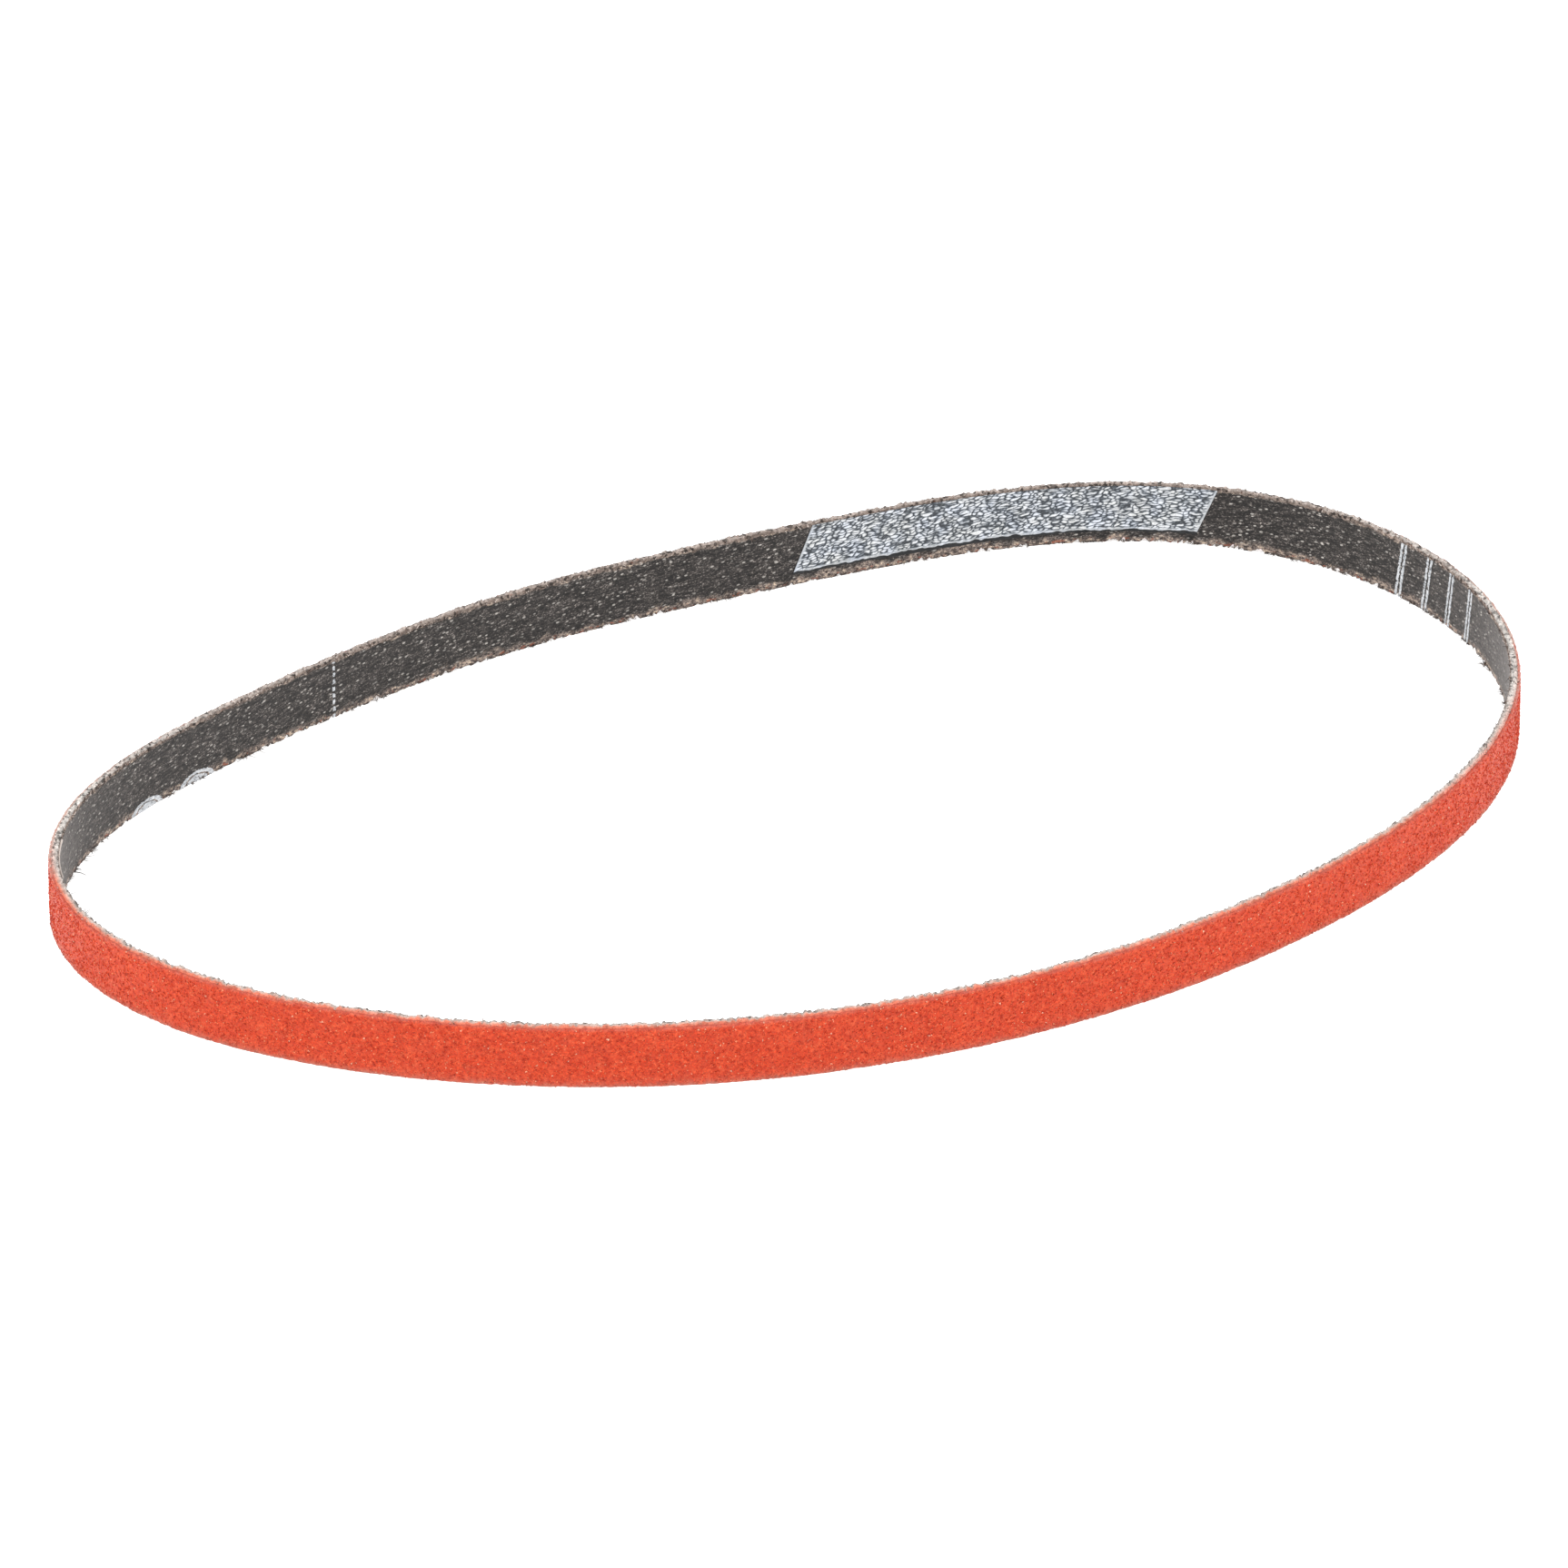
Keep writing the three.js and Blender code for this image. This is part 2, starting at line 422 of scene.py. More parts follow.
def cut_material(name):
    """What the slit edge shows: pale yarn ends at the loop's ends, browner ones at the back where more of
    the backsize soaked in, and coat resin smeared over them in front."""
    recipe = Recipe(name, Sheen_Weight=0.1, Roughness=0.9, Specular_IOR_Level=0.2)
    at = recipe.unrolled()
    through = recipe.corner_value("through")
    pale = recipe.ramp(
        through, (0.0, seen(206, 184, 172)), (0.14, seen(255, 249, 243)), (0.8, seen(255, 247, 240)),
        (1.0, seen(255, 236, 227)),
    )
    salmon = recipe.ramp(
        through, (0.0, seen(238, 228, 221)), (0.3, seen(240, 224, 215)), (0.6, seen(246, 200, 183)),
        (1.0, seen(255, 146, 118)),
    )
    brown = recipe.ramp(
        through, (0.0, seen(172, 156, 146)), (0.3, seen(210, 194, 184)), (0.7, seen(216, 201, 192)),
        (1.0, seen(200, 186, 178)),
    )
    front = recipe.mix(recipe.corner_value("front"), pale, salmon)
    sound = recipe.mix(recipe.corner_value("back"), front, brown)
    soak = recipe.noise(at, 1.5, 3.0, 0.7)
    soaked = recipe.times(
        recipe.ramp(soak, (0.47, 0.0), (0.54, 0.85)), recipe.ramp(through, (0.05, 1.0), (0.5, 0.0))
    )
    darkest = recipe.mix(recipe.corner_value("back"), seen(92, 74, 64), seen(132, 116, 107))
    body = recipe.mix(soaked, sound, darkest)
    nearness, luck = recipe.cells(at, 2.0)
    tipped = recipe.shaded(body, luck, (0.18, 0.2), (0.27, 0.5), (0.34, 1.0), (0.85, 1.14))
    tufted = recipe.shaded(tipped, nearness, (0.36, 1.0), (0.6, 0.74))
    smeared = recipe.mix(recipe.ramp(recipe.corner_value("front"), (0.0, 0.0), (1.0, 0.75)), tufted, body)
    yarn = recipe.noise(at, 3.0, 3.0, 0.7, 0.4)
    spotted = recipe.shaded(smeared, yarn, (0.32, 0.62), (0.44, 1.0), (0.62, 1.25))
    stain = recipe.noise(at, 1.1, 4.0, 0.75)
    stained = recipe.mix(recipe.ramp(stain, (0.6, 0.0), (0.7, 0.45)), spotted, seen(190, 128, 104))
    # painted shade: the cut edge darkens towards the lower slit edge, next to the floor
    low_shaded = recipe.shaded(stained, recipe.corner_value("grime"), (0.0, 1.0), (1.0, 0.45))
    patch = recipe.noise(at, 0.3, 3.0, 0.6)
    colour = recipe.shaded(low_shaded, patch, (0.36, 0.84), (0.5, 1.0), (0.64, 1.14))
    return recipe.finish(colour, bump=yarn, depth=0.08 * MM)


def backsize_material():
    """Near-black treated cloth with pale flecks where yarns stand through, frayed at both rims, with dust
    spots and a painted shade along the lower one.
    """
    recipe = Recipe(
        "treated_cloth", Sheen_Weight=0.3, Sheen_Roughness=0.4, Sheen_Tint=(1, 0.91, 0.87, 1),
        Specular_IOR_Level=0.25,
    )
    yarn = recipe.noise(recipe.unrolled(0.62, 1.25, FLECK_LEAN), 4.8, 2.0, 0.6)
    base = recipe.ramp(
        yarn, (0.36, seen(26, 23, 22)), (0.5, seen(46, 42, 40)), (0.6, seen(74, 69, 66)),
        (0.7, seen(130, 123, 118)),
    )
    streak = recipe.noise(recipe.unrolled(0.3, 1.0, FLECK_LEAN), 1.2, 2.0, 0.6)
    patched = recipe.shaded(base, streak, (0.32, 0.75), (0.5, 1.0), (0.68, 1.25))
    line = recipe.noise(recipe.unrolled(0.32, 1.6, FLECK_LEAN), 2.7, 1.0, 0.5)
    streaked = recipe.shaded(patched, line, (0.38, 0.45), (0.5, 0.9), (0.6, 1.85))
    nearness, luck = recipe.cells(recipe.unrolled(0.85, 1.8, FLECK_LEAN), 1.0)
    fleck = recipe.times(
        recipe.ramp(nearness, (0.2, 1.0), (0.31, 0.0)),
        recipe.ramp(luck, (0.4, 0.0), (0.5, 0.35), (0.64, 0.65), (0.74, 1.0)),
    )
    flecked = recipe.mix(fleck, streaked, seen(236, 229, 221))
    crowned = recipe.shaded(flecked, recipe.corner_value("relief"), (0.0, 0.6), (1.0, 1.24))
    worn = recipe.noise(recipe.unrolled(0.7, 1.2), 2.5, 3.0, 0.75)
    frayed = recipe.ramp(
        worn, (0.36, seen(34, 28, 25)), (0.46, seen(97, 85, 79)), (0.53, seen(148, 134, 127)),
        (0.59, seen(190, 170, 154)), (0.66, seen(242, 218, 190)),
    )
    grime = recipe.corner_value("grime")
    dust = recipe.noise(recipe.unrolled(0.5, 1.0), 1.5, 2.0, 0.6)
    settled = recipe.times(
        recipe.ramp(dust, (0.58, 0.0), (0.64, 0.8)), recipe.ramp(grime, (0.02, 0.0), (0.2, 1.0))
    )
    dusty = recipe.mix(settled, frayed, seen(160, 88, 62))
    # painted shade: the inner face darkens towards the lower slit edge, next to the floor
    darkened = recipe.shaded(dusty, grime, (0.2, 1.0), (1.0, 0.55))
    colour = recipe.mix(recipe.corner_value("rim"), crowned, darkened)
    rough = recipe.ramp(yarn, (0.35, 0.5), (0.7, 0.8))
    return recipe.finish(colour, bump=yarn, depth=0.06 * MM, strength=0.7, roughness=rough)


def tape_material():
    """Pale blue-grey film, dark where it is pressed into the cloth."""
    recipe = Recipe("splice_film", Specular_IOR_Level=0.35)
    at = recipe.unrolled()
    pebble = recipe.ramp(
        recipe.corner_value("relief"), (0.1, seen(58, 63, 69)), (0.3, seen(110, 116, 123)),
        (0.5, seen(194, 198, 203)), (0.85, seen(245, 247, 250)),
    )
    cloud = recipe.noise(at, 0.35, 3.0, 0.6)
    tinted = recipe.shaded(
        pebble, cloud, (0.35, (0.93, 0.92, 0.89, 1)), (0.5, 1.0), (0.65, (0.94, 0.97, 1.03, 1))
    )
    fine = recipe.noise(at, 5.0, 2.0, 0.6)
    colour = recipe.shaded(tinted, fine, (0.3, 0.8), (0.7, 1.15))
    rough = recipe.ramp(fine, (0.3, 0.3), (0.7, 0.5))
    return recipe.finish(colour, bump=fine, depth=0.02 * MM, roughness=rough)


def resin_material(name, dark, pale, roughness):
    """Hard resin with cloudy patches."""
    recipe = Recipe(name, Roughness=roughness, Specular_IOR_Level=0.3)
    cloud = recipe.noise(recipe.unrolled(), 1.2, 3.0, 0.6)
    return recipe.finish(recipe.ramp(cloud, (0.35, dark), (0.65, pale)), bump=cloud)


def fibre_material(name, dark, pale):
    """Yarn fibres, each of one tone."""
    recipe = Recipe(name, Roughness=0.8, Sheen_Weight=0.2, Specular_IOR_Level=0.2)
    tone = recipe.corner_value("tone")
    return recipe.finish(recipe.ramp(tone, (0.1, dark), (0.9, pale)))


def ink_material():
    """Grey-white printing ink that the cloth's grain shows through."""
    recipe = Recipe("marking_ink", Roughness=0.6, Specular_IOR_Level=0.3)
    cover = recipe.noise(recipe.unrolled(0.6, 1.2), 2.4, 3.0, 0.7)
    colour = recipe.ramp(
        cover, (0.3, seen(140, 143, 148)), (0.48, seen(208, 211, 215)), (0.68, seen(248, 249, 251))
    )
    return recipe.finish(colour)


# ---- the abrasive face

# A layer's two slit edges are given as slit_edge()'s seed, least, nicks and size: the lower one first.
# The layers share their seeds, so that nicks of the same size lie one above another.
COAT_EDGES = ((51, 0.0, 0.14 * MM, 0.9 * MM), (53, -0.14 * MM, 0.2 * MM, 1.0 * MM))
COAT_MESH = 2040, (40, 3, 1)  # stations along the belt, and rows over its face, its rims and its back
RESIN_LUMP = 0.62 * MM


def resin_relief(along, height):
    """Lumps of size resin over the grains."""
    first, _, tone = cells(along / RESIN_LUMP, height / RESIN_LUMP, 301)
    lumps = 0.05 * MM * (tone - 0.5) + 0.05 * MM * (0.5 - first)
    return lumps + 0.03 * MM * fractal(along / (1.7 * MM), height / (1.7 * MM), 305)


def coat_wear_and_sheen(along, height):
    """What the coat material reads at a place: how worn it is at the upper slit edge, with a painted sheen
    that makes the pale band stronger and deeper away from the front, and at the lower one, and how much it
    belongs to the loop's back."""
    front = in_front(along, start_on_right=-0.2)
    # painted sheen: away from the front the pale edge reaches further down and is stronger
    reach = (0.4 - 0.26 * front) * MM
    patchy = 0.85 + 0.45 * fractal(along / (0.6 * MM), height / (0.5 * MM), 311, 2)
    upper = np.exp(-np.clip(WIDTH - 0.1 * MM - height, 0, None) / reach)
    lower = np.exp(-height / (0.48 * MM))
    return {
        "edge": np.clip((1.5 - 1.35 * front) * upper * patchy, 0, 1),
        "under": np.clip(1.1 * lower * patchy, 0, 0.9),
        "back": at_back(along),
    }


def add_size_coat():
    """The resin that fills the spaces between the grains, from the make coat out."""
    foot = layer("abrasive_grain")[0]
    coordinates = strip("size_coat", *COAT_MESH, COAT_EDGES, outer=resin_relief, foot=foot)
    along, _, height = np.moveaxis(coordinates, 2, 0)
    tone = 0.5 + 0.4 * fractal(along / (0.32 * MM), height / (0.32 * MM), 309, 2)
    resin = coat_material(
        "size_resin", (0.0, seen(202, 54, 23)), (0.5, seen(222, 72, 33)), (1.0, seen(240, 102, 61))
    )
    wear_and_sheen = coat_wear_and_sheen(along, height)
    add_strip("size_resin", "size_coat", coordinates, resin, "size_resin", tone=tone, **wear_and_sheen)


# A four-sided grain, before it is crushed out of shape and turned.
GRAIN_CORNERS = np.array([(1, 1, 1), (1, -1, -1), (-1, 1, -1), (-1, -1, 1)], float)
GRAIN_FACES = np.array([(0, 2, 1), (0, 1, 3), (0, 3, 2), (1, 2, 3)])
GRAINS = 48000
GRAIN_SIZE = 0.115 * MM  # half across
GRAIN_LIFT = 0.22 * MM  # the most that a grain stands above the size coat


def random_turns(rng, count):
    """Random rotation matrices."""
    quaternion = rng.normal(size=(count, 4))
    w, x, y, z = (quaternion / np.linalg.norm(quaternion, axis=1)[:, None]).T
    rows = [
        [1 - 2 * (y * y + z * z), 2 * (x * y - z * w), 2 * (x * z + y * w)],
        [2 * (x * y + z * w), 1 - 2 * (x * x + z * z), 2 * (y * z - x * w)],
        [2 * (x * z - y * w), 2 * (y * z + x * w), 1 - 2 * (x * x + y * y)],
    ]
    return np.moveaxis(np.array(rows), 2, 0)


def add_grains():
    """Separate grains, half sunk in the size resin and lightly coated by it."""
    rng = np.random.default_rng(41)
    face = layer("size_coat")[1]
    along = STRIP_START + rng.uniform(0.001, 0.999, GRAINS) * STRIP_LENGTH
    height = rng.uniform(0.1 * MM, WIDTH - 0.06 * MM, GRAINS)
    along = along + SEAM_SLOPE * (height - WIDTH / 2)
    size = GRAIN_SIZE * rng.uniform(0.6, 1.3, GRAINS)
    corners = GRAIN_CORNERS * (1 + rng.uniform(-0.3, 0.3, (GRAINS, 4, 3)))
    corners = corners * size[:, None, None]
    corners = np.einsum("nij,nkj->nki", random_turns(rng, GRAINS), corners)
    depth = face + resin_relief(along, height) + size * rng.uniform(-0.75, 0.1, GRAINS)
    offset = np.minimum(depth[:, None] + corners[:, :, 1], face + GRAIN_LIFT)
    spot_along = along[:, None] + corners[:, :, 0]
    spot_height = np.clip(height[:, None] + corners[:, :, 2], 0.02 * MM, WIDTH + 0.12 * MM)
    coordinates = joined(spot_along, offset, spot_height)
    faces = (GRAIN_FACES[None] + 4 * np.arange(GRAINS)[:, None, None]).reshape(-1, 3)
    # The two palest tones paint glints: the brightest grains stand in for highlights off their facets; the
    # other tones differ at random.
    grain = coat_material(
        "coated_grain", (0.0, seen(188, 46, 19)), (0.5, seen(218, 68, 31)), (0.74, seen(234, 94, 53)),
        (0.88, seen(252, 150, 108)), (1.0, seen(255, 218, 190)),
    )
    tone = np.repeat(rng.beta(1.6, 1.9, GRAINS), 4)
    new_piece(
        "grains", coordinates, faces.tolist(), grain, "grain", ("abrasive_grain",), smooth=False,
        tone=tone, **coat_wear_and_sheen(spot_along, spot_height),
    )


# ---- the cloth

CLOTH_EDGES = ((51, -0.34 * MM, 0.84 * MM, 0.9 * MM), (53, -0.36 * MM, 0.3 * MM, 1.0 * MM))
BACKSIZE_EDGES = ((51, -0.34 * MM, 0.94 * MM, 0.9 * MM), (53, -0.1 * MM, 0.34 * MM, 0.8 * MM))
MAKE_EDGES = ((51, -0.04 * MM, 0.26 * MM, 0.9 * MM), (53, -0.2 * MM, 0.22 * MM, 1.0 * MM))
BACKSIZE_MESH = 1520, (1, 2, 60)
CLOTH_MESH = 2440, (1, 9, 1)
MAKE_MESH = 2440, (1, 1, 1)
YARN_PITCH = 0.5 * MM
FLOAT_LENGTH = 1.5 * MM  # how far a yarn runs from one dip to the next
WEAVE_DEPTH = 0.07 * MM
FLECK_LEAN = -0.1  # radians: the yarns that show run a little askew to the belt


def weave(along, height):
    """Height of the treated weave, from 0 to 1: yarns along the belt that dip under the cross yarns, and
    resin that fills them unevenly."""
    wander = 0.45 * fractal(along / (2.5 * MM), height / (1.5 * MM), 401, 2)
    row = height / YARN_PITCH + wander
    crown = np.sin(math.pi * np.mod(row, 1)) ** 0.6
    shift = np.mod(np.floor(row) * 0.4, 1) + 0.3 * lattice_noise(np.floor(row), along / (5 * MM), 405)
    dip = np.abs(np.mod(along / FLOAT_LENGTH + shift, 1) - 0.5)
    interlace = 1 - 0.75 * np.exp(-((dip / 0.14) ** 2))
    filled = fractal(along / (1.1 * MM), height / (0.7 * MM), 407)
    return np.clip(0.7 * crown * interlace + 0.3 + 0.35 * filled, 0, 1)


def weave_relief(along, height):
    """How far the treated weave stands proud of the CAD layer, or below it."""
    return WEAVE_DEPTH * (weave(along, height) - 0.6)


def frayed_band(along, height):
    """How frayed a place on the inner face is, from 0 to 1: a ragged band along both rims."""
    early, late, _, _ = tape_outline()
    beneath_tape = (along > early - 3 * MM) & (along < late + 1 * MM)
    deep = 0.95 * MM + 0.3 * MM * beneath_tape
    deep = deep + 0.5 * MM * fractal(along / (2.2 * MM), height / (1.5 * MM), 415)
    shallow = 0.16 * MM + 0.34 * MM * fractal(along / (1.6 * MM), height / (1.2 * MM), 417)
    lower = 1.25 - height / np.maximum(deep, 0.1 * MM)
    upper = 1.2 - (WIDTH - height) / np.maximum(shallow, 0.08 * MM)
    return np.clip(2 * np.maximum(lower, upper), 0, 1)


def grime(height):
    """How near the lower slit edge a place is, from 0 to 1: where dust from the coat settles, and where a
    painted shade darkens the band next to the floor.
    """
    return np.exp(-height / (0.3 * MM))


def add_backsize():
    """The dark inner face, with the relief of the weave beneath it."""
    coordinates = strip("backsize_coat", *BACKSIZE_MESH, BACKSIZE_EDGES, inner=weave_relief)
    along, _, height = np.moveaxis(coordinates, 2, 0)
    add_strip(
        "treated_face", "backsize_coat", coordinates, backsize_material(), "backsize",
        relief=weave(along, height), rim=frayed_band(along, height), grime=grime(height),
    )


def yarn_ends(along, offset, upper):
    """Cut ends of the cross yarns along the rims."""
    first, _, tone = cells(along / (0.42 * MM), offset / (0.36 * MM), 431 + upper)
    tuft = 0.4 * MM * (tone - 0.4) + 0.24 * MM * (0.45 - first)
    return tuft if upper else -np.minimum(1.4 * tuft, 0)


BACK_START = 0.35  # how far the outer face has turned to a side where that side starts, from -1 to 1
FRONT_START_ON_LEFT = -0.3
SIDE_BLEND = 0.5  # how much further it has turned where the side is reached in full


def side_share(along, turned, start):
    """From 0 to 1, how much a place belongs to a side of the loop that begins where turned is start."""
    patch = 0.2 * lattice_noise(along / (14 * MM), 0, 441)
    return np.clip((turned - start + patch) / SIDE_BLEND, 0, 1)


def at_back(along):
    """From 0 to 1, how much a place belongs to the loop's back rather than to its ends."""
    return side_share(along, belt.facing_back(along), BACK_START)


def in_front(along, start_on_right=0.1):
    """From 0 to 1, how much a place belongs to the loop's front, which begins sooner at the loop's left
    end than at its right one."""
    on_left = np.mod(along, belt.length) < belt.length / 2
    start = np.where(on_left, FRONT_START_ON_LEFT, start_on_right)
    return side_share(along, -belt.facing_back(along), start)


def cut_values(coordinates):
    """What the cut edge's material reads at a place: how far through the cloth it lies, from 0 on the
    inner side to 1 on the outer one, the side of the loop, and the nearness of the lower edge."""
    along, offset, height = np.moveaxis(coordinates, 2, 0)
    low, high = layer("cloth_backing")
    return {
        "through": np.clip((offset - low) / (high - low), 0, 1),
        "front": in_front(along),
        "back": at_back(along),
        "grime": grime(height),
    }


def add_cloth():
    """The slit cloth, with the cut ends of its cross yarns along both rims."""
    cloth = strip("cloth_backing", *CLOTH_MESH, CLOTH_EDGES, rims=yarn_ends)
    cut = cut_material("cut_cloth")
    add_strip("cut_cloth", "cloth_backing", cloth, cut, "cloth", **cut_values(cloth))


def add_make_coat():
    """The thin line of resin between the cloth and the grain."""
    resin = strip("make_coat", *MAKE_MESH, MAKE_EDGES)
    cut = cut_material("make_resin")
    add_strip("make_resin", "make_coat", resin, cut, "bond_resin", **cut_values(resin))


SEAM_ROWS = 60
SEAM_SINK = 0.06 * MM  # how far the bond is let into the strip's two ends


def add_seam_bond():
    """A thin ragged wall of dark resin in the butt joint."""
    half = STRIP_START + SEAM_SINK
    low, high = layer("seam_bond")
    climb = np.linspace(0, 1, SEAM_ROWS)[:, None]
    side = np.array([0, 1, 1, 0, -1, -1])
    depth = np.array([0, 0, 1, 1, 1, 0])
    ragged = 0.04 * MM * fractal(climb * 24, side * 2.0, 461)
    height = 0.08 * MM + (WIDTH - 0.16 * MM) * climb
    along = side * half + ragged + SEAM_SLOPE * (height - WIDTH / 2)
    offset = low + (high - low) * depth
    glue = resin_material("seam_glue", seen(60, 50, 44), seen(104, 84, 72), 0.45)
    add_strip("seam_wall", "seam_bond", joined(along, offset, height), glue, "adhesive")


# ---- fibres and threads

FIBRE = fibre_material("fibre", seen(104, 84, 75), seen(244, 229, 219))
THREAD = fibre_material("loose_thread", seen(58, 48, 44), seen(176, 154, 140))
TUBE_END = 0.45  # a tube's thickness at its tip, as a share of that at its root
FLOOR_GAP = 0.005 * MM
UPPER_FUZZ = 5500
LOWER_FUZZ = 6500
YARN_TIPS = 3600
LOOSE_THREADS = 260


def bent_tubes(name, roots, starts, bends, thickness, material, tone, segments, sides):
    """Thin tapering tubes. roots are belt coordinates; starts and bends are vectors along, out and up:
    a tube leaves its root along its start and curves towards start plus bend."""
    run = np.linspace(0, 1, segments + 1)[None, :, None]
    path = roots[:, None, :] + starts[:, None, :] * run + bends[:, None, :] * run**2
    heading = starts[:, None, :] + 2 * bends[:, None, :] * run
    heading = heading / np.linalg.norm(heading, axis=2, keepdims=True)
    side = np.cross(heading, np.array([0.31, 0.87, 0.38]))
    side = side / np.linalg.norm(side, axis=2, keepdims=True)
    other = np.cross(heading, side)
    turn = np.linspace(0, 2 * math.pi, sides, endpoint=False)
    radius = (thickness[:, None] / 2 * np.linspace(1, TUBE_END, segments + 1)[None, :])[:, :, None, None]
    ring = np.cos(turn)[:, None] * side[:, :, None, :] + np.sin(turn)[:, None] * other[:, :, None, :]
    spots = path[:, :, None, :] + radius * ring
    spots[..., 2] = np.maximum(spots[..., 2], FLOOR_GAP)
    one = tube_faces(segments + 1, sides)
    stride = (segments + 1) * sides
    faces = [[corner + tube * stride for corner in face] for tube in range(len(roots)) for face in one]
    new_piece(name, spots, faces, material, "cloth", tone=np.repeat(tone, stride))


def aimed(aim, lengths):
    """Vectors of the given lengths, one row each. aim is how much each points along, out and up."""
    aim = np.stack(aim, axis=-1)
    return aim / np.linalg.norm(aim, axis=1)[:, None] * lengths[:, None]


def scattered(rng, count):
    """Random places along the belt."""
    return STRIP_START + rng.uniform(0, 1, count) * STRIP_LENGTH


def add_fuzz(name, upper, count, seed):
    """Short fibres along one rim of the cloth, dark on the backsize's side and pale on the other."""
    rng = np.random.default_rng(seed)
    low, high = layer("cloth_backing")
    along = scattered(rng, count)
    through = rng.beta(0.8, 1.1, count)
    offset = low - 0.06 * MM + (high - low) * through
    height = WIDTH - 0.16 * MM if upper else 0.14 * MM
    lengths = 0.14 * MM + rng.gamma(1.6, 0.11 * MM, count)
    up = rng.uniform(0.1, 0.9, count) if upper else rng.uniform(-0.35, 0.25, count)
    sideways = rng.normal(0, 0.7, count)
    outwards = rng.normal(-0.2, 0.6 if upper else 1.0, count)
    starts = aimed([sideways, outwards, up], lengths)
    bends = rng.normal(0, 0.5, (count, 3)) * lengths[:, None]
    shade = 0.35 * in_front(along) - (0.15 if upper else 0.5) * at_back(along)
    tone = np.clip(0.35 + 0.7 * through + rng.normal(0, 0.25, count) + shade, 0, 1)
    roots = joined(along, offset, height)
    thickness = rng.uniform(0.03, 0.065, count) * MM
    bent_tubes(name, roots, starts, bends, thickness, FIBRE, tone, segments=3, sides=3)


def add_yarn_tips():
    """Thicker cut yarn ends that stand out of the upper rim, few of them in front."""
    rng = np.random.default_rng(84)
    low, high = layer("cloth_backing")
    along = scattered(rng, YARN_TIPS)
    kept = rng.uniform(0, 1, YARN_TIPS) > 0.6 * in_front(along)
    along = along[kept]
    count = len(along)
    offset = low + (high - low) * rng.uniform(-0.05, 1.05, count)
    lengths = rng.uniform(0.22, 0.5, count) * MM
    sideways = rng.normal(0, 0.6, count)
    outwards = rng.normal(0, 0.6, count)
    starts = aimed([sideways, outwards, rng.uniform(0.3, 1, count)], lengths)
    bends = rng.normal(0, 0.3, (count, 3)) * lengths[:, None]
    dark = rng.uniform(0, 1, count) < 0.3
    tone = np.where(dark, rng.uniform(-0.1, 0.3, count), rng.uniform(0.75, 1.1, count))
    tone = np.clip(tone - 0.15 * at_back(along), 0, 1)
    roots = joined(along, offset, WIDTH - 0.08 * MM)
    thickness = rng.uniform(0.1, 0.22, count) * MM
    bent_tubes("yarn_tips", roots, starts, bends, thickness, FIBRE, tone, segments=3, sides=5)


def add_loose_threads():
    """Threads that came loose in slitting, at both rims."""
    rng = np.random.default_rng(83)
    count = LOOSE_THREADS
    low, high = layer("backsize_coat")[0], layer("cloth_backing")[1]
    along = scattered(rng, count)
    upper = rng.uniform(0, 1, count) < 0.45
    offset = low + (high - low) * rng.beta(0.7, 1.4, count)
    height = np.where(upper, WIDTH - 0.12 * MM, 0.1 * MM)
    lengths = (0.35 + rng.gamma(1.5, 0.28, count)) * MM
    inward = np.where(rng.uniform(0, 1, count) < 0.75, -1, 1)
    sideways = rng.normal(0, 0.9, count)
    outwards = inward * rng.uniform(0.1, 0.9, count)
    starts = aimed([sideways, outwards, np.where(upper, 0.35, 0.05)], lengths)
    bends = rng.normal(0, 0.4, (count, 3)) * lengths[:, None]
    bends[:, 2] = -0.1 * lengths
    roots = joined(along, offset, height)
    thickness = rng.uniform(0.04, 0.1, count) * MM
    tone = rng.beta(1.0, 1.6, count)
    bent_tubes("loose_threads", roots, starts, bends, thickness, THREAD, tone, segments=6, sides=5)


TUFT_THREADS = 7  # in each tuft
LOW_TUFTS = 360
HIGH_TUFTS = 120
LOW_TUFT = 0.2 * MM  # half a small tuft's mean size
HIGH_TUFT = 0.11 * MM
BIG_TUFT = 0.75 * MM
LOW_TUFTS_AT = (183.2 * MM, 181.0 * MM, -108.5 * MM, -44.0 * MM)
HIGH_TUFTS_AT = (211.0 * MM, 214.5 * MM, -141.0 * MM, -152.0 * MM, 262.0 * MM)


def add_tufts(name, count, size, big_ones, upper, seed):
    """Small snarls of dark cut yarn on the inner side of one rim, and a few big ones at given places."""
    rng = np.random.default_rng(seed)
    inner = layer("backsize_coat")[0]
    centre = np.append(scattered(rng, count), big_ones)
    size = np.append(rng.gamma(2.0, size, count), np.full(len(big_ones), BIG_TUFT))
    centre, size = np.repeat(centre, TUFT_THREADS), np.repeat(size, TUFT_THREADS)
    threads = len(centre)
    lift = rng.uniform(0.05, 0.35, threads) * MM
    height = WIDTH - lift if upper else lift
    roots = joined(centre + rng.normal(0, 0.4, threads) * size, inner, height)
    rise = rng.uniform(0, 0.8, threads) if upper else rng.normal(0, 0.3, threads)
    aim = [rng.normal(0, 0.8, threads), -rng.uniform(0.2, 1, threads), rise]
    lengths = size * rng.uniform(0.5, 1.2, threads)
    starts = aimed(aim, lengths)
    bends = rng.normal(0, 0.5, (threads, 3)) * lengths[:, None]
    thickness = rng.uniform(0.06, 0.13, threads) * MM
    tone = rng.beta(1.0, 2.2, threads)
    bent_tubes(name, roots, starts, bends, thickness, THREAD, tone, segments=5, sides=5)


def add_stray(name, root, start, bend, thickness, tone, material):
    """One long tube that leaves its root along start and curves towards start plus bend, both in
    millimetres along, out and up."""
    roots = np.array([root])
    starts = np.array([start]) * MM
    bends = np.array([bend]) * MM
    thickness = np.array([thickness])
    tone = np.array([tone])
    bent_tubes(name, roots, starts, bends, thickness, material, tone, segments=24, sides=8)


